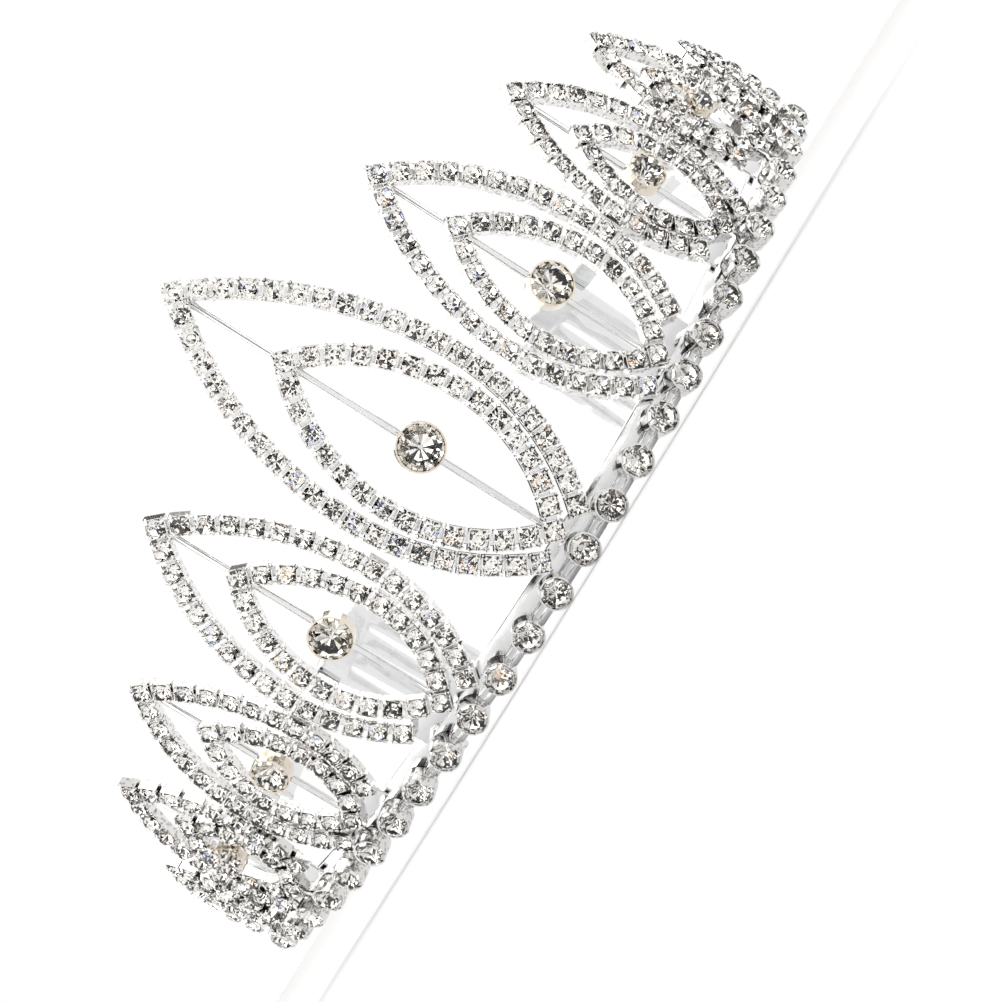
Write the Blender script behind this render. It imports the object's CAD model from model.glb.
# Pageant crown: nine rhinestone petals and a row of round stones on a flat metal headband, with a
# side comb on each end of the band. Metres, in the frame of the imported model.
import bpy
from collections import namedtuple
from math import asin, atan2, ceil, cos, pi, radians, sin, sqrt
from mathutils import Matrix, Vector


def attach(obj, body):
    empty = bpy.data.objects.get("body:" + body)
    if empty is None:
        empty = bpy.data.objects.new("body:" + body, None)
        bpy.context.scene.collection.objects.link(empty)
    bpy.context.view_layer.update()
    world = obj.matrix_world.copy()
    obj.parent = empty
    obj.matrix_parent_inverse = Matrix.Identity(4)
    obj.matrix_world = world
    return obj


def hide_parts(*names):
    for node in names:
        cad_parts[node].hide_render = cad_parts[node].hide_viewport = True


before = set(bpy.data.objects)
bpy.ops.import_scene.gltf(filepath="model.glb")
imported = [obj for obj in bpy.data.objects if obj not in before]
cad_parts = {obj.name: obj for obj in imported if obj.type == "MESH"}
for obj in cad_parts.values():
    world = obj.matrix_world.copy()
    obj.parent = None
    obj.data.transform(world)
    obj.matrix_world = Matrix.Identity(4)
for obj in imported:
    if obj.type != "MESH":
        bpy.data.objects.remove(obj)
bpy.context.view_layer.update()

# Camera. It stands in front of the crown at the photograph's distance, lens and roll, so the
# crown's top points to the picture's upper left. The photograph looks up at the crown from below
# the table's level, so the camera is as low as the table lets it.
band_front, camera_far = -0.0776, 0.3494
camera_side, camera_up = -0.0039, 0.005
bpy.ops.object.camera_add(location=(camera_side, band_front - camera_far, camera_up))
camera = bpy.context.object
camera.name = "camera"
camera.data.sensor_width = 36
camera.data.lens = 104.8
camera.data.clip_start = 0.01
pan, pitch, roll = radians(-0.59), radians(91.41), radians(-58.1)
aim = Matrix.Rotation(pan, 3, "Z") @ Matrix.Rotation(pitch, 3, "X") @ Matrix.Rotation(roll, 3, "Z")
camera.rotation_euler = aim.to_euler()
bpy.context.scene.camera = camera
# shown without a film curve, so the pale ground is as white as the photograph's
bpy.context.scene.view_settings.view_transform = "Standard"

# Table and light. A wide matt white table in a pale studio: white cloth and lamps all round, with
# dark gaps between them that the plating and the stones reflect, and less light from the camera's
# side.
table_r = 6
bpy.ops.object.select_all(action="DESELECT")
bpy.ops.mesh.primitive_circle_add(vertices=96, radius=table_r, fill_type="NGON", location=(0, 0, 0))
table_top = bpy.context.object
table_top.name = "table_top"
white = bpy.data.materials.new("matt white table")
white.use_nodes = True
nodes, links = white.node_tree.nodes, white.node_tree.links
shader = nodes["Principled BSDF"]
shader.inputs["Roughness"].default_value = 1
shader.inputs["Specular IOR Level"].default_value = 0
where = nodes.new("ShaderNodeTexCoord")
fibres = nodes.new("ShaderNodeTexNoise")
fibres.inputs["Scale"].default_value = 900
tone = nodes.new("ShaderNodeMix")
tone.data_type = "RGBA"
tone.inputs["A"].default_value = (0.605, 0.61, 0.62, 1)
tone.inputs["B"].default_value = (0.645, 0.65, 0.66, 1)
links.new(where.outputs["Object"], fibres.inputs["Vector"])
links.new(fibres.outputs["Fac"], tone.inputs["Factor"])
links.new(tone.outputs["Result"], shader.inputs["Base Color"])
table_top.data.materials.append(white)

# the camera sees plain white round the table, and everything else reflects the studio
room = bpy.data.worlds.new("room")
bpy.context.scene.world = room
room.use_nodes = True
nodes, links = room.node_tree.nodes, room.node_tree.links
nodes.clear()
out = nodes.new("ShaderNodeOutputWorld")
ground = nodes.new("ShaderNodeBackground")
ground.inputs["Color"].default_value = (1, 1, 1, 1)
ground.inputs["Strength"].default_value = 1
lamps = nodes.new("ShaderNodeBackground")
lamps.inputs["Strength"].default_value = 1.85
where = nodes.new("ShaderNodeTexCoord")
panels = nodes.new("ShaderNodeTexVoronoi")
panels.inputs["Scale"].default_value = 4.2
panel_value = nodes.new("ShaderNodeSeparateColor")
lit = nodes.new("ShaderNodeValToRGB")
lit.color_ramp.elements[0].position = 0.44
lit.color_ramp.elements[0].color = (0.012, 0.010, 0.008, 1)
lit.color_ramp.elements[1].position = 0.50
lit.color_ramp.elements[1].color = (1.0, 0.985, 0.96, 1)
# more of the panels are lit towards the sides and overhead
direction = nodes.new("ShaderNodeSeparateXYZ")
to_side = nodes.new("ShaderNodeMath")
to_side.operation = "ABSOLUTE"
side_lit = nodes.new("ShaderNodeMath")
side_lit.operation = "MULTIPLY_ADD"
side_lit.inputs[1].default_value = 0.50
over_lit = nodes.new("ShaderNodeMath")
over_lit.operation = "MULTIPLY_ADD"
over_lit.inputs[1].default_value = 0.12
behind_camera = nodes.new("ShaderNodeMapRange")
behind_camera.inputs["From Min"].default_value = -0.92
behind_camera.inputs["From Max"].default_value = -0.70
behind_camera.inputs["To Min"].default_value = 0.85
behind_camera.inputs["To Max"].default_value = 1.0
dimmed = nodes.new("ShaderNodeMix")
dimmed.data_type = "RGBA"
dimmed.blend_type = "MULTIPLY"
dimmed.inputs["Factor"].default_value = 1
seen_by = nodes.new("ShaderNodeLightPath")
choice = nodes.new("ShaderNodeMixShader")
links.new(where.outputs["Generated"], panels.inputs["Vector"])
links.new(where.outputs["Generated"], direction.inputs["Vector"])
links.new(direction.outputs["Y"], behind_camera.inputs["Value"])
links.new(panels.outputs["Color"], panel_value.inputs["Color"])
links.new(direction.outputs["X"], to_side.inputs[0])
links.new(to_side.outputs["Value"], side_lit.inputs[0])
links.new(panel_value.outputs["Red"], side_lit.inputs[2])
links.new(direction.outputs["Z"], over_lit.inputs[0])
links.new(side_lit.outputs["Value"], over_lit.inputs[2])
links.new(over_lit.outputs["Value"], lit.inputs["Fac"])
links.new(lit.outputs["Color"], dimmed.inputs["A"])
links.new(behind_camera.outputs["Result"], dimmed.inputs["B"])
links.new(dimmed.outputs["Result"], lamps.inputs["Color"])
links.new(seen_by.outputs["Is Camera Ray"], choice.inputs["Fac"])
links.new(lamps.outputs["Background"], choice.inputs[1])
links.new(ground.outputs["Background"], choice.inputs[2])
links.new(choice.outputs["Shader"], out.inputs["Surface"])

crown_middle = Vector((0, -0.04, 0.03))
for name, place, size, power in (
    ("lamp_over", (0.0, -0.15, 0.9), 0.6, 1.6),
    ("lamp_left", (-0.8, -0.7, 0.45), 0.4, 1.2),
    ("lamp_right", (0.9, -0.5, 0.5), 0.4, 1.2),
):
    bpy.ops.object.light_add(type="AREA", location=place)
    lamp = bpy.context.object
    lamp.name = name
    lamp.data.size = size
    lamp.data.energy = power
    lamp.rotation_euler = (crown_middle - Vector(place)).to_track_quat("-Z", "Y").to_euler()

# Headband. Two layers of flat steel strip, bent to three arcs on each side, bright plated, and
# soldered where they lap. The inner layer goes round the front to both sides; a strap on each end
# carries on from it and holds a comb.
front_r, side_r, arm_r = 0.070, 0.063, 0.124
front_deg, side_deg, layer_end_deg, strap_end_deg = 38.5, 85.5, 113.5, 131.5
band_h, strip_t, lap, solder_t, gap = 0.0044, 0.001, 0.012, 0.0002, 0.0001
# the crown stands on its base row and on the comb tips, so it leans forward, and the middle of the
# band's front comes to this place
lean, front_y, front_z = radians(8.94565), -0.0777229, 0.00336038
standing = Matrix.Translation((0, front_y, front_z)) @ Matrix.Rotation(lean, 4, "X")


def outward(deg):
    """The way out of the band, level, where the band faces deg degrees from its front."""
    return Vector((sin(radians(deg)), -cos(radians(deg)), 0))


front_l = radians(front_deg) * front_r
side_l = radians(side_deg - front_deg) * side_r
front_c = Vector((0, front_r, 0))
side_c = front_c + (front_r - side_r) * outward(front_deg)
arm_c = side_c + (side_r - arm_r) * outward(side_deg)


def heading(s):
    """The way that the band faces, in degrees, at a distance along it from the middle."""
    if s < 0:
        return -heading(-s)
    if s <= front_l:
        return s / front_r * 180 / pi
    if s <= front_l + side_l:
        return front_deg + (s - front_l) / side_r * 180 / pi
    return side_deg + (s - front_l - side_l) / arm_r * 180 / pi


def spot(s):
    """The point on the band's outer face at a distance along it from the middle."""
    if s < 0:
        return Vector((-spot(-s).x, spot(-s).y, 0))
    if s <= front_l:
        return front_c + front_r * outward(heading(s))
    if s <= front_l + side_l:
        return side_c + side_r * outward(heading(s))
    return arm_c + arm_r * outward(heading(s))


def on_band(s, out, up):
    """The place of a flat drawing on the standing crown: its x along the band, y up, z outwards."""
    turn = Matrix.Rotation(radians(heading(s)), 4, "Z")
    return (
        standing @ Matrix.Translation(spot(s) + Vector((0, 0, up))) @ turn
        @ Matrix.Translation((0, -out, 0)) @ Matrix.Rotation(pi / 2, 4, "X")
    )


def only(piece):
    """Selects one piece and nothing else."""
    bpy.ops.object.select_all(action="DESELECT")
    piece.select_set(True)
    bpy.context.view_layer.objects.active = piece


def start(name):
    """The primitive just added, under its own name, in edit mode with all of it selected."""
    piece = bpy.context.object
    piece.name = piece.data.name = name
    bpy.ops.object.transform_apply(location=True, rotation=True, scale=True)
    bpy.ops.object.mode_set(mode="EDIT")
    bpy.ops.mesh.select_all(action="SELECT")
    return piece


def bend_strip(name, start_deg, centre, radius, outs, heights, bends, step_deg=1.5):
    """A bent strip: its first cross-section, spun round one centre after the other."""
    bpy.ops.object.select_all(action="DESELECT")
    bpy.ops.mesh.primitive_plane_add(size=1)
    section = bpy.context.object
    section.scale = (outs[1] - outs[0], heights[1] - heights[0], 1)
    section.rotation_euler = (
        Matrix.Rotation(radians(start_deg - 90), 3, "Z") @ Matrix.Rotation(pi / 2, 3, "X")
    ).to_euler()
    section.location = centre + (radius + sum(outs) / 2) * outward(start_deg)
    section.location.z = sum(heights) / 2
    strip = start(name)
    for pivot, turn_deg in bends:
        # the spin operator turns clockwise
        bpy.ops.mesh.spin(
            steps=ceil(abs(turn_deg) / step_deg), angle=-radians(turn_deg), center=pivot, axis=(0, 0, 1)
        )
    bpy.ops.object.mode_set(mode="OBJECT")
    return strip


def close_and_turn_out(piece):
    """Closes a spun shape's open ends and points its faces outwards."""
    only(piece)
    bpy.ops.object.mode_set(mode="EDIT")
    bpy.ops.mesh.select_all(action="SELECT")
    bpy.ops.mesh.remove_doubles(threshold=1e-6)
    bpy.ops.mesh.select_all(action="DESELECT")
    bpy.ops.mesh.select_mode(type="EDGE")
    bpy.ops.mesh.select_non_manifold(extend=False, use_wire=False, use_multi_face=False)
    bpy.ops.mesh.edge_face_add()
    bpy.ops.mesh.select_all(action="SELECT")
    bpy.ops.mesh.normals_make_consistent(inside=False)
    bpy.ops.mesh.select_mode(type="FACE")
    bpy.ops.object.mode_set(mode="OBJECT")


def soften(piece, width, segments=2):
    """Rounds a piece's edges, as tumbling and plating leave them."""
    bevel = piece.modifiers.new("edges", "BEVEL")
    bevel.width = width
    bevel.segments = segments
    bevel.limit_method = "ANGLE"
    bevel.angle_limit = radians(40)
    only(piece)
    bpy.ops.object.modifier_apply(modifier="edges")
    bpy.ops.object.shade_smooth_by_angle(angle=radians(35))


def socket(group, name, kind, way, value=None):
    """Gives a node group a named input, with its usual value, or a named output."""
    made = group.interface.new_socket(name=name, in_out=way, socket_type=kind)
    if value is not None:
        made.default_value = value


# what hands and tools leave on bright plating: shallow waves, smudges, fine scratches, faint tarnish
handling = bpy.data.node_groups.new("handling marks", "ShaderNodeTree")
socket(handling, "Clean colour", "NodeSocketColor", "INPUT", (0.86, 0.86, 0.85, 1))
socket(handling, "Tarnish colour", "NodeSocketColor", "INPUT", (0.62, 0.58, 0.52, 1))
socket(handling, "Smudge roughness", "NodeSocketFloat", "INPUT", 0.22)
socket(handling, "Colour", "NodeSocketColor", "OUTPUT")
socket(handling, "Roughness", "NodeSocketFloat", "OUTPUT")
socket(handling, "Height", "NodeSocketFloat", "OUTPUT")
nodes, links = handling.nodes, handling.links
given, out = nodes.new("NodeGroupInput"), nodes.new("NodeGroupOutput")
where = nodes.new("ShaderNodeTexCoord")
smudges = nodes.new("ShaderNodeTexNoise")
smudges.inputs["Scale"].default_value = 140
smudges.inputs["Detail"].default_value = 4
smudge_range = nodes.new("ShaderNodeMapRange")
smudge_range.inputs["From Min"].default_value = 0.40
smudge_range.inputs["From Max"].default_value = 0.68
smudge_range.inputs["To Min"].default_value = 0.07
long_way = nodes.new("ShaderNodeMapping")
long_way.inputs["Scale"].default_value = (900, 900, 9000)
scratches = nodes.new("ShaderNodeTexNoise")
scratches.inputs["Scale"].default_value = 1
scratches.inputs["Detail"].default_value = 3
waves = nodes.new("ShaderNodeTexNoise")
waves.inputs["Scale"].default_value = 260
waves.inputs["Detail"].default_value = 0
# the waves are this many times as high as the scratches
height = nodes.new("ShaderNodeMath")
height.operation = "MULTIPLY_ADD"
height.inputs[1].default_value = 18
stains = nodes.new("ShaderNodeTexNoise")
stains.inputs["Scale"].default_value = 520
stains.inputs["Detail"].default_value = 5
stain_range = nodes.new("ShaderNodeMapRange")
stain_range.inputs["From Min"].default_value = 0.56
stain_range.inputs["From Max"].default_value = 0.72
tint = nodes.new("ShaderNodeMix")
tint.data_type = "RGBA"
links.new(where.outputs["Object"], smudges.inputs["Vector"])
links.new(where.outputs["Object"], stains.inputs["Vector"])
links.new(where.outputs["Object"], long_way.inputs["Vector"])
links.new(long_way.outputs["Vector"], scratches.inputs["Vector"])
links.new(smudges.outputs["Fac"], smudge_range.inputs["Value"])
links.new(given.outputs["Smudge roughness"], smudge_range.inputs["To Max"])
links.new(stains.outputs["Fac"], stain_range.inputs["Value"])
links.new(stain_range.outputs["Result"], tint.inputs["Factor"])
links.new(given.outputs["Clean colour"], tint.inputs["A"])
links.new(given.outputs["Tarnish colour"], tint.inputs["B"])
links.new(tint.outputs["Result"], out.inputs["Colour"])
links.new(smudge_range.outputs["Result"], out.inputs["Roughness"])
links.new(where.outputs["Object"], waves.inputs["Vector"])
links.new(waves.outputs["Fac"], height.inputs[0])
links.new(scratches.outputs["Fac"], height.inputs[2])
links.new(height.outputs["Value"], out.inputs["Height"])


def plated(name, clean, tarnish, smudge, bump):
    """A bright plated metal with its own colours and its own amount of handling marks."""
    metal = bpy.data.materials.new(name)
    metal.use_nodes = True
    nodes, links = metal.node_tree.nodes, metal.node_tree.links
    shader = nodes["Principled BSDF"]
    shader.inputs["Metallic"].default_value = 1
    marks = nodes.new("ShaderNodeGroup")
    marks.node_tree = handling
    marks.inputs["Clean colour"].default_value = clean
    marks.inputs["Tarnish colour"].default_value = tarnish
    marks.inputs["Smudge roughness"].default_value = smudge
    relief = nodes.new("ShaderNodeBump")
    relief.inputs["Strength"].default_value = bump
    relief.inputs["Distance"].default_value = 0.00002
    links.new(marks.outputs["Colour"], shader.inputs["Base Color"])
    links.new(marks.outputs["Roughness"], shader.inputs["Roughness"])
    links.new(marks.outputs["Height"], relief.inputs["Height"])
    links.new(relief.outputs["Normal"], shader.inputs["Normal"])
    return metal


silver_plating = plated(
    "bright plating", clean=(0.75, 0.755, 0.76, 1), tarnish=(0.68, 0.68, 0.675, 1), smudge=0.22, bump=0.35
)

inner_layer = bend_strip(
    "inner_layer", 0, front_c, front_r, (-strip_t, 0), (-band_h / 2, band_h / 2),
    ((front_c, front_deg), (side_c, side_deg - front_deg), (arm_c, layer_end_deg - side_deg)),
)
# the first cross-section would stay as a wall inside the whole strip, so it goes before the mirror
bpy.ops.object.mode_set(mode="EDIT")
bpy.ops.mesh.select_all(action="DESELECT")
bpy.ops.object.mode_set(mode="OBJECT")
for face in inner_layer.data.polygons:
    face.select = abs(face.center.x) < 1e-6
bpy.ops.object.mode_set(mode="EDIT")
bpy.ops.mesh.delete(type="ONLY_FACE")
bpy.ops.object.mode_set(mode="OBJECT")
half = inner_layer.modifiers.new("left half", "MIRROR")
half.merge_threshold = 2e-6
bpy.ops.object.modifier_apply(modifier="left half")
close_and_turn_out(inner_layer)
lap_deg = layer_end_deg - lap / arm_r * 180 / pi
strap_right = bend_strip(
    "strap_right", lap_deg, arm_c, arm_r, (-solder_t, strip_t - solder_t), (-band_h / 2, band_h / 2),
    ((arm_c, strap_end_deg - lap_deg),),
)
close_and_turn_out(strap_right)
bpy.ops.object.duplicate()
strap_left = bpy.context.object
strap_left.name = strap_left.data.name = "strap_left"
strap_left.data.transform(Matrix.Scale(-1, 4, (1, 0, 0)))
close_and_turn_out(strap_left)
strip_edge = 0.00014
for strip in (inner_layer, strap_right, strap_left):
    soften(strip, strip_edge)
    strip.data.transform(standing)
    strip.data.materials.append(silver_plating)
    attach(strip, "root")
    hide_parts("headband")

# Side combs. Each is stamped from one piece of sheet, bowed towards the head, with five tapering
# teeth whose slots have round ends; it is plated like the band and soldered inside its strap.
comb_edge = 0.00022
for side in ("left", "right"):
    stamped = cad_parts["comb_" + side]
    comb = bpy.data.objects.new("side_comb_" + side, stamped.data.copy())
    bpy.context.collection.objects.link(comb)
    only(comb)
    bpy.ops.object.mode_set(mode="EDIT")
    bpy.ops.mesh.select_all(action="SELECT")
    bpy.ops.mesh.remove_doubles(threshold=1e-6)
    bpy.ops.mesh.dissolve_limited(angle_limit=radians(0.3))
    bpy.ops.object.mode_set(mode="OBJECT")
    soften(comb, comb_edge, segments=3)
    comb.data.materials.clear()
    comb.data.materials.append(silver_plating)
    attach(comb, "root")
    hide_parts("comb_" + side)

# Base row. Round cups of thin plated brass on short bar links, soldered to the front of the band,
# each with a cut glass stone whose back is foiled, held by claws pressed over its edge.
row_side_count, row_pitch, row_stone_d, row_up = 13, 0.006, 0.0037, -0.0009
row_cup_h, row_cup_d, row_rim, row_pavilion, row_edge_out = 0.0026, 0.0043, 0.00025, 0.0015, 0.0025
link_h, link_t, link_lap, link_rim, link_dip, link_edge = 0.0014, 0.0009, 0.0008, 0.00035, 0.0003, 0.00008
# each stone is turned on from the last by this many radians
stone_turn = 2.4

# cells that are each light or dark, a few of them blue or orange, as facets flash in cut glass
flashes = bpy.data.node_groups.new("facet flashes", "ShaderNodeTree")
socket(flashes, "Cells per metre", "NodeSocketFloat", "INPUT", 2600)
socket(flashes, "Dark share", "NodeSocketFloat", "INPUT", 0.3)
socket(flashes, "Tinted share", "NodeSocketFloat", "INPUT", 0.02)
socket(flashes, "Light", "NodeSocketColor", "INPUT", (0.95, 0.94, 0.92, 1))
socket(flashes, "Dark", "NodeSocketColor", "INPUT", (0.03, 0.028, 0.025, 1))
socket(flashes, "Colour", "NodeSocketColor", "OUTPUT")
nodes, links = flashes.nodes, flashes.links
given, out = nodes.new("NodeGroupInput"), nodes.new("NodeGroupOutput")
where = nodes.new("ShaderNodeTexCoord")
cells = nodes.new("ShaderNodeTexVoronoi")
cell_value = nodes.new("ShaderNodeSeparateColor")
is_light = nodes.new("ShaderNodeMath")
is_light.operation = "GREATER_THAN"
shade = nodes.new("ShaderNodeMix")
shade.data_type = "RGBA"
hue = nodes.new("ShaderNodeValToRGB")
hue.color_ramp.interpolation = "CONSTANT"
hue.color_ramp.elements[0].color = (0.50, 0.62, 1, 1)
hue.color_ramp.elements[1].position = 0.5
hue.color_ramp.elements[1].color = (1, 0.68, 0.42, 1)
is_tinted = nodes.new("ShaderNodeMath")
is_tinted.operation = "LESS_THAN"
tinted = nodes.new("ShaderNodeMix")
tinted.data_type = "RGBA"
tinted.blend_type = "MULTIPLY"
links.new(where.outputs["Object"], cells.inputs["Vector"])
links.new(given.outputs["Cells per metre"], cells.inputs["Scale"])
links.new(cells.outputs["Color"], cell_value.inputs["Color"])
links.new(cell_value.outputs["Red"], is_light.inputs[0])
links.new(given.outputs["Dark share"], is_light.inputs[1])
links.new(is_light.outputs["Value"], shade.inputs["Factor"])
links.new(given.outputs["Dark"], shade.inputs["A"])
links.new(given.outputs["Light"], shade.inputs["B"])
links.new(cell_value.outputs["Green"], is_tinted.inputs[0])
links.new(given.outputs["Tinted share"], is_tinted.inputs[1])
links.new(cell_value.outputs["Blue"], hue.inputs["Fac"])
links.new(is_tinted.outputs["Value"], tinted.inputs["Factor"])
links.new(shade.outputs["Result"], tinted.inputs["A"])
links.new(hue.outputs["Color"], tinted.inputs["B"])
links.new(tinted.outputs["Result"], out.inputs["Colour"])


def flashing(name, cells_per_m, dark_share, tinted_share, light, dark, roughness):
    """A bright metal whose colour changes from cell to cell."""
    metal = bpy.data.materials.new(name)
    metal.use_nodes = True
    nodes, links = metal.node_tree.nodes, metal.node_tree.links
    shader = nodes["Principled BSDF"]
    shader.inputs["Metallic"].default_value = 1
    shader.inputs["Roughness"].default_value = roughness
    cell = nodes.new("ShaderNodeGroup")
    cell.node_tree = flashes
    cell.inputs["Cells per metre"].default_value = cells_per_m
    cell.inputs["Dark share"].default_value = dark_share
    cell.inputs["Tinted share"].default_value = tinted_share
    cell.inputs["Light"].default_value = light
    cell.inputs["Dark"].default_value = dark
    links.new(cell.outputs["Colour"], shader.inputs["Base Color"])
    return metal


bright_white, dull_white, warm_grey = (0.98, 0.97, 0.96, 1), (0.90, 0.89, 0.87, 1), (0.50, 0.48, 0.44, 1)
black, cup_light, cup_dark = (0.04, 0.036, 0.032, 1), (0.84, 0.83, 0.82, 1), (0.48, 0.47, 0.45, 1)
# cells per metre, dark share, tinted share, light, dark, roughness
fine_foils = (
    flashing("mirror foil", 2400, 0.04, 0.02, bright_white, black, 0.03),
    flashing("shaded foil", 1500, 0.24, 0.02, dull_white, black, 0.04),
)
wide_foils = (
    flashing("wide mirror foil", 500, 0.02, 0.01, bright_white, black, 0.02),
    flashing("wide shaded foil", 700, 0.35, 0.01, warm_grey, black, 0.03),
)
cup_metal = flashing("thin cup metal", 3200, 0.20, 0, cup_light, cup_dark, 0.12)

crystal = bpy.data.materials.new("cut crystal")
crystal.use_nodes = True
nodes, links = crystal.node_tree.nodes, crystal.node_tree.links
shader = nodes["Principled BSDF"]
shader.inputs["Base Color"].default_value = (0.99, 0.985, 0.975, 1)
shader.inputs["Transmission Weight"].default_value = 1
shader.inputs["IOR"].default_value = 1.56
where = nodes.new("ShaderNodeTexCoord")
dust = nodes.new("ShaderNodeTexNoise")
dust.inputs["Scale"].default_value = 700
dust.inputs["Detail"].default_value = 5
haze = nodes.new("ShaderNodeMapRange")
haze.inputs["From Min"].default_value = 0.55
haze.inputs["From Max"].default_value = 0.75
haze.inputs["To Min"].default_value = 0.0
haze.inputs["To Max"].default_value = 0.06
links.new(where.outputs["Object"], dust.inputs["Vector"])
links.new(dust.outputs["Fac"], haze.inputs["Value"])
links.new(haze.outputs["Result"], shader.inputs["Roughness"])


def grind(count, first_deg, tilt_deg, at_r, at_z):
    """Grinds a ring of flat facets, each through the point at_r out and at_z up. They look up at a
    tilt above zero and down at one below it."""
    for i in range(count):
        around = radians(first_deg + 360 / count * i)
        away = Vector((cos(around), sin(around), 0))
        lean_in = radians(abs(tilt_deg))
        up_or_down = 1 if tilt_deg > 0 else -1
        bpy.ops.mesh.select_all(action="SELECT")
        bpy.ops.mesh.bisect(
            plane_co=away * at_r + Vector((0, 0, at_z)),
            plane_no=away * sin(lean_in) + Vector((0, 0, cos(lean_in) * up_or_down)),
            use_fill=True, clear_outer=True, threshold=1e-7,
        )


# a stone's height above its widest place and its half edge, as shares of its width, and the flat on
# top, as a share of its radius
upper_share, edge_share, flat_share = 0.22, 0.015, 0.58


def cut_stone(name, d, pavilion, fine, foils):
    """One stone with its widest place at zero: a flat top and facets above, foiled facets below."""
    bpy.ops.object.select_all(action="DESELECT")
    upper_h, edge, r = upper_share * d, edge_share * d, d / 2
    top_r = r * flat_share
    bpy.ops.mesh.primitive_cylinder_add(
        vertices=16, radius=r, depth=upper_h + pavilion, location=(0, 0, (upper_h - pavilion) / 2)
    )
    stone = start(name)
    slope = atan2(upper_h - edge, r - top_r) * 180 / pi
    under = atan2(pavilion - edge, r) * 180 / pi
    flat_r = r * cos(pi / 16)
    # above, a ring of wide facets and a flatter ring round the flat top, and in a fine stone a
    # steeper ring at the edge too; below, one ring down to a point
    grind(8, 0, slope, flat_r, edge)
    if fine:
        grind(16, 11.25, slope + 6, flat_r * 0.985, edge)
        grind(8, 22.5, slope - 14, top_r * 1.04, upper_h)
        grind(16, 11.25, -under, flat_r, -edge)
    else:
        grind(8, 22.5, slope - 12, top_r * 1.02, upper_h)
        grind(8, 22.5, -under, flat_r, -edge)
    bpy.ops.object.mode_set(mode="OBJECT")
    for material in (crystal,) + foils:
        stone.data.materials.append(material)
    # the facets below have the two foils by turns
    facet_deg = 22.5 if fine else 45
    for face in stone.data.polygons:
        if face.normal.z < -0.05:
            turn = atan2(face.center.y, face.center.x) * 180 / pi
            face.material_index = 2 if round((turn - 11.25) / facet_deg) % 2 else 1
    return stone


def copies(name, pattern, places, turn=0):
    """Copies a pattern to each place, each turned on from the last, and joins them to one piece."""
    bpy.ops.object.select_all(action="DESELECT")
    for i, place in enumerate(places):
        one = pattern.copy()
        one.data = pattern.data.copy()
        one.data.transform(place @ Matrix.Rotation(i * turn, 4, "Z"))
        bpy.context.collection.objects.link(one)
        one.select_set(True)
        bpy.context.view_layer.objects.active = one
    bpy.ops.object.join()
    joined = bpy.context.object
    joined.name = joined.data.name = name
    return joined


def join(name, pieces):
    """Joins pieces to one under a new name."""
    only(pieces[0])
    for piece in pieces:
        piece.select_set(True)
    bpy.ops.object.join()
    pieces[0].name = pieces[0].data.name = name
    return pieces[0]


def pick_top(piece):
    """In edit mode, selects only the highest faces that look up."""
    bpy.ops.mesh.select_all(action="DESELECT")
    bpy.ops.object.mode_set(mode="OBJECT")
    top = max(face.center.z for face in piece.data.polygons)
    for face in piece.data.polygons:
        face.select = face.normal.z > 0.9 and face.center.z > top - 1e-6
    bpy.ops.object.mode_set(mode="EDIT")


# a claw is this share as wide at its tip as at its foot
claw_taper = 0.6


def claw(wide, thick, foot, tip, around_deg):
    """One claw, bent in over a stone's edge; foot and tip are distances out and heights."""
    bpy.ops.object.select_all(action="DESELECT")
    height = tip[1] - foot[1]
    bpy.ops.mesh.primitive_cube_add(
        size=1, scale=(thick, wide, height), location=(foot[0], 0, (foot[1] + tip[1]) / 2)
    )
    piece = start("claw")
    pick_top(piece)
    bpy.ops.transform.resize(value=(1, claw_taper, 1))
    bpy.ops.transform.translate(value=(tip[0] - foot[0], 0, 0))
    bpy.ops.object.mode_set(mode="OBJECT")
    piece.data.transform(Matrix.Rotation(radians(around_deg), 4, "Z"))
    return piece


# claws take up this share of a cup's rim
claw_share = 0.62
cup_sheet, cup_floor, claw_in, claw_up = 0.0002, 0.00015, 0.00035, 0.00022


def round_cup(name, r, low, depth, claws, metal):
    """A drawn round cup with a thin wall, and claws to press over its stone."""
    bpy.ops.object.select_all(action="DESELECT")
    bpy.ops.mesh.primitive_cylinder_add(
        vertices=24, radius=r, depth=depth, location=(0, 0, low + depth / 2), rotation=(0, 0, pi / 24)
    )
    cup = start(name)
    pick_top(cup)
    bpy.ops.mesh.inset(thickness=cup_sheet)
    bpy.ops.mesh.extrude_region_move(TRANSFORM_OT_translate={"value": (0, 0, cup_floor - depth)})
    bpy.ops.object.mode_set(mode="OBJECT")
    wide = 2 * pi * r / claws * claw_share
    foot = (sqrt(r ** 2 - wide ** 2 / 4) - cup_sheet / 2, low + depth - cup_sheet)
    tip = (foot[0] - claw_in, low + depth + claw_up)
    pressed = [claw(wide, cup_sheet, foot, tip, 360 / claws * i) for i in range(claws)]
    cup = join(name, [cup] + pressed)
    cup.data.materials.append(metal)
    return cup


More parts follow.
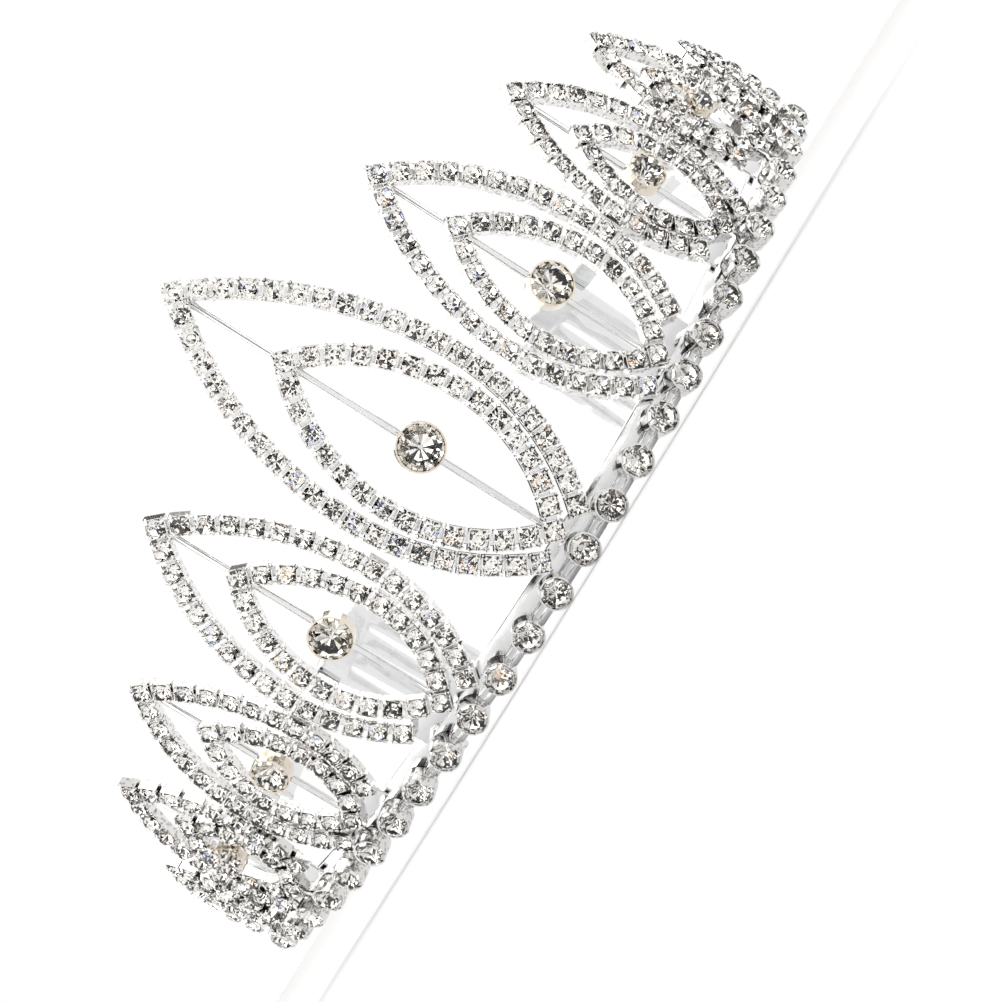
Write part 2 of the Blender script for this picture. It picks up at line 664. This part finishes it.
row_numbers = range(-row_side_count, row_side_count + 1)
row_cup = round_cup("row_cup", row_stone_d / 2 + row_rim, 0, row_cup_h, claws=6, metal=cup_metal)
row_cups = copies("row_cups", row_cup, [on_band(k * row_pitch, gap, row_up) for k in row_numbers])
bpy.ops.object.select_all(action="DESELECT")
bpy.ops.mesh.primitive_cube_add(
    size=1, scale=(row_pitch - row_cup_d + link_lap, link_h, link_t), location=(0, 0, link_t / 2)
)
bar_link = start("bar_link")
pick_top(bar_link)
bpy.ops.mesh.inset(thickness=link_rim)
bpy.ops.mesh.extrude_region_move(TRANSFORM_OT_translate={"value": (0, 0, -link_dip)})
bpy.ops.object.mode_set(mode="OBJECT")
soften(bar_link, link_edge)
bar_link.data.materials.append(silver_plating)
bar_links = copies(
    "bar_links", bar_link, [on_band((k + 0.5) * row_pitch, gap, row_up) for k in row_numbers[:-1]]
)
base_row = join("base_row", [row_cups, bar_links])
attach(base_row, "root")
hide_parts("base_chain")

row_stone = cut_stone("row_stone", row_stone_d, row_pavilion, fine=True, foils=fine_foils)
row_of_stones = copies(
    "row_of_stones", row_stone,
    [on_band(k * row_pitch, gap + row_edge_out, row_up) for k in row_numbers], stone_turn,
)
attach(row_of_stones, "root")
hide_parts("base_stones")

# Petals. Each is an outer and an inner loop of flat strip with square cups soldered on side by
# side, a round wire down the middle that carries a large stone in its own cup, and a foot plate
# soldered to the band; the small stones sit in four claws each.
cup_w, cup_h, cup_pitch, cup_wall, cup_deep, cup_back = 0.0026, 0.0014, 0.00295, 0.00014, 0.0011, 0.0003
small_stone_d, small_pavilion, small_edge_out = 0.0024, 0.00096, 0.0018
rail_w, rail_t, wire_d, petal_gap = 0.0014, 0.0005, 0.0009, 0.0002
rail_edge, wire_edge, plate_edge, plate_in = 0.00008, 0.0001, 0.0001, 0.00004
large_cup_h, large_rim, large_pavilion, large_edge_out = 0.0020, 0.0003, 0.0017, 0.002375
wire_lift = 0.000025
wire_mid = wire_d / 2 + wire_lift
cup_corner = cup_w * sqrt(0.5)
outer_foot = -0.00075
inner_foot = row_cup_d / 2 + gap + cup_corner
# a loop's widest place, as a share of its height
outer_wide, inner_wide = 0.42, 0.51
# tip height, width, inner tip height, gap between the loops, large stone, its height
petal_rows = (
    (0.0590, 0.0262, 0.0438, 0.0008, 0.0056, 0.0230),
    (0.0460, 0.0228, 0.0346, 0.0008, 0.0052, 0.0196),
    (0.0366, 0.0188, 0.0268, 0.0005, 0.0046, 0.0158),
    (0.0302, 0.0168, 0.0218, 0.0003, 0.0036, 0.0132),
    (0.0188, 0.0126, 0.0140, 0.0001, 0, 0),
)
warm_rim = plated(
    "warm cup rim", clean=(0.74, 0.68, 0.59, 1), tarnish=(0.50, 0.42, 0.31, 1), smudge=0.25, bump=0.3
)

Loop = namedtuple("Loop", "foot tip half wide low_r high_r low_a high_a")


def loop(foot, tip, half, wide):
    """One side of a loop: a lower and an upper arc that meet upright at its widest place."""
    low_r = ((wide - foot) ** 2 + half ** 2) / (2 * half)
    high_r = ((tip - wide) ** 2 + half ** 2) / (2 * half)
    low_a, high_a = asin((wide - foot) / low_r), asin((tip - wide) / high_r)
    return Loop(foot, tip, half, wide, low_r, high_r, low_a, high_a)


def side_seats(side):
    """Cups along one side of a loop, between its foot and its tip: across, up and turn."""
    low_l = side.low_a * side.low_r
    length = low_l + side.high_a * side.high_r
    count = round(length / cup_pitch)
    seats = []
    for i in range(1, count):
        along = length * i / count
        if along <= low_l:
            a, r = side.low_a - along / side.low_r, side.low_r
            seats.append((side.half - r + r * cos(a), side.wide - r * sin(a), -a))
        else:
            a, r = (along - low_l) / side.high_r, side.high_r
            seats.append((side.half - r + r * cos(a), side.wide + r * sin(a), a))
    return seats


def clears_row(x, y, turn, petal_s):
    """Does a square cup stay clear of the round cups of the base row?"""
    for k in row_numbers:
        dx, dy = k * row_pitch - petal_s - x, -y
        across, up = dx * cos(turn) + dy * sin(turn), dy * cos(turn) - dx * sin(turn)
        beside = Vector((max(abs(across) - cup_w / 2, 0), max(abs(up) - cup_w / 2, 0)))
        if beside.length < row_cup_d / 2 + gap:
            return False
    return True


def rail(name, side, from_a):
    """The flat strip behind one side of a loop, from an angle below its widest place to the tip."""
    low_c = Vector((side.half - side.low_r, side.wide, 0))
    high_c = Vector((side.half - side.high_r, side.wide, 0))
    low_deg, high_deg = from_a * 180 / pi, side.high_a * 180 / pi
    right = bend_strip(
        name, 90 - low_deg, low_c, side.low_r, (-rail_w / 2, rail_w / 2), (0, rail_t),
        ((low_c, low_deg), (high_c, high_deg)), step_deg=4,
    )
    close_and_turn_out(right)
    soften(right, rail_edge, segments=1)
    return right


def mirror(piece):
    """Turns a piece into its mirror image, left for right."""
    piece.data.transform(Matrix.Scale(-1, 4, (1, 0, 0)))
    piece.data.flip_normals()
    return piece


bpy.ops.object.select_all(action="DESELECT")
bpy.ops.mesh.primitive_cube_add(size=1, scale=(cup_w, cup_w, cup_h), location=(0, 0, cup_back + cup_h / 2))
small_cup = start("small_cup")
pick_top(small_cup)
bpy.ops.mesh.inset(thickness=cup_wall)
bpy.ops.mesh.extrude_region_move(TRANSFORM_OT_translate={"value": (0, 0, -cup_deep)})
bpy.ops.object.mode_set(mode="OBJECT")
claw_w, claw_t, claw_foot, claw_tip = 0.00062, 0.0003, (0.00158, 0.0015), (0.00120, 0.00212)
corner_claws = [claw(claw_w, claw_t, claw_foot, claw_tip, 45 + 90 * i) for i in range(4)]
small_cup = join("small_cup", [small_cup] + corner_claws)
small_cup.data.materials.append(cup_metal)
small_stone = cut_stone("small_stone", small_stone_d, small_pavilion, fine=False, foils=fine_foils)

distance = 0
for n, (tip_h, width, inner_tip_h, loop_gap, stone_d, stone_up) in enumerate(petal_rows):
    if n:
        distance += (petal_rows[n - 1][1] + width) / 2 + petal_gap
    outer = loop(outer_foot, tip_h - cup_corner, width / 2 - cup_w / 2, tip_h * outer_wide)
    inner_half = width / 2 - 1.5 * cup_w - loop_gap
    inner = loop(inner_foot, inner_tip_h - cup_corner, inner_half, inner_tip_h * inner_wide)
    for side, word in ((0, "centre"),) if n == 0 else ((-1, "left_%d" % n), (1, "right_%d" % n)):
        petal_s = side * distance
        flat = on_band(petal_s, gap, row_up)
        # the cups at the tips and at the inner foot stand on a corner
        outer_places = [(0, outer.tip, pi / 4)]
        inner_places = [(0, inner.tip, pi / 4), (0, inner.foot, pi / 4)]
        lowest = []
        for flip in (-1, 1):
            kept = [
                (flip * x, y, flip * turn) for x, y, turn in side_seats(outer)
                if clears_row(flip * x, y, flip * turn, petal_s)
            ]
            lowest.append(kept[0])
            outer_places += kept
            inner_places += [(flip * x, y, flip * turn) for x, y, turn in side_seats(inner)]
        outer_seats, inner_seats = (
            [flat @ Matrix.Translation((x, y, 0)) @ Matrix.Rotation(turn, 4, "Z") for x, y, turn in places]
            for places in (outer_places, inner_places)
        )

        # the outer rails and the foot plate start at the lowest cup on each side
        (left_x, left_y, left_turn), (right_x, right_y, right_turn) = lowest
        outer_left = mirror(rail("outer_left_rail", outer, left_turn))
        inner_right = rail("inner_right_rail", inner, inner.low_a)
        metal = [outer_left, rail("outer_right_rail", outer, -right_turn), inner_right]
        only(inner_right)
        bpy.ops.object.duplicate()
        metal.append(mirror(bpy.context.object))
        bpy.ops.object.select_all(action="DESELECT")
        bpy.ops.mesh.primitive_cylinder_add(
            vertices=16, radius=wire_d / 2, depth=outer.tip - inner.foot, rotation=(pi / 2, 0, 0),
            location=(0, (outer.tip + inner.foot) / 2, wire_mid),
        )
        wire = start("wire")
        bpy.ops.object.mode_set(mode="OBJECT")
        soften(wire, wire_edge)
        metal.append(wire)
        plate_low = row_cup_d / 2 + 2 * gap
        plate_h = max(left_y - plate_low, right_y - plate_low, rail_w)
        bpy.ops.object.select_all(action="DESELECT")
        bpy.ops.mesh.primitive_cube_add(
            size=1, scale=(right_x - left_x, plate_h, rail_t - plate_in),
            location=((left_x + right_x) / 2, plate_low + plate_h / 2, rail_t / 2),
        )
        plate = start("plate")
        bpy.ops.object.mode_set(mode="OBJECT")
        soften(plate, plate_edge)
        metal.append(plate)
        for part in metal:
            part.data.transform(flat)
            part.data.materials.append(silver_plating)
        metal.append(copies("outer_cups", small_cup, outer_seats))
        metal.append(copies("inner_cups", small_cup, inner_seats))
        if stone_d:
            large_cup = round_cup(
                "large_cup", stone_d / 2 + large_rim, wire_mid, large_cup_h, claws=12, metal=warm_rim
            )
            large_cup.data.transform(flat @ Matrix.Translation((0, stone_up, 0)))
            metal.append(large_cup)
        setting = join("petal_%s_setting" % word, metal)
        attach(setting, "root")
        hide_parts("petal_" + word)

        to_edge = Matrix.Translation((0, 0, small_edge_out))
        outer_stones, inner_stones = (
            copies("petal_%s_%s_stones" % (word, row), small_stone, [m @ to_edge for m in seats], stone_turn)
            for row, seats in (("outer", outer_seats), ("inner", inner_seats))
        )
        for stones in (outer_stones, inner_stones):
            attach(stones, "root")
        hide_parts("petal_%s_stones" % word)
        if stone_d:
            large_stone = cut_stone(
                "large_stone_cut_" + word, stone_d, large_pavilion, fine=True, foils=wide_foils
            )
            large_stone.data.transform(flat @ Matrix.Translation((0, stone_up, large_edge_out)))
            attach(large_stone, "root")
            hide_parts("large_stone_" + word)

for pattern in (row_stone, small_stone, small_cup, row_cup, bar_link):
    bpy.data.objects.remove(pattern)
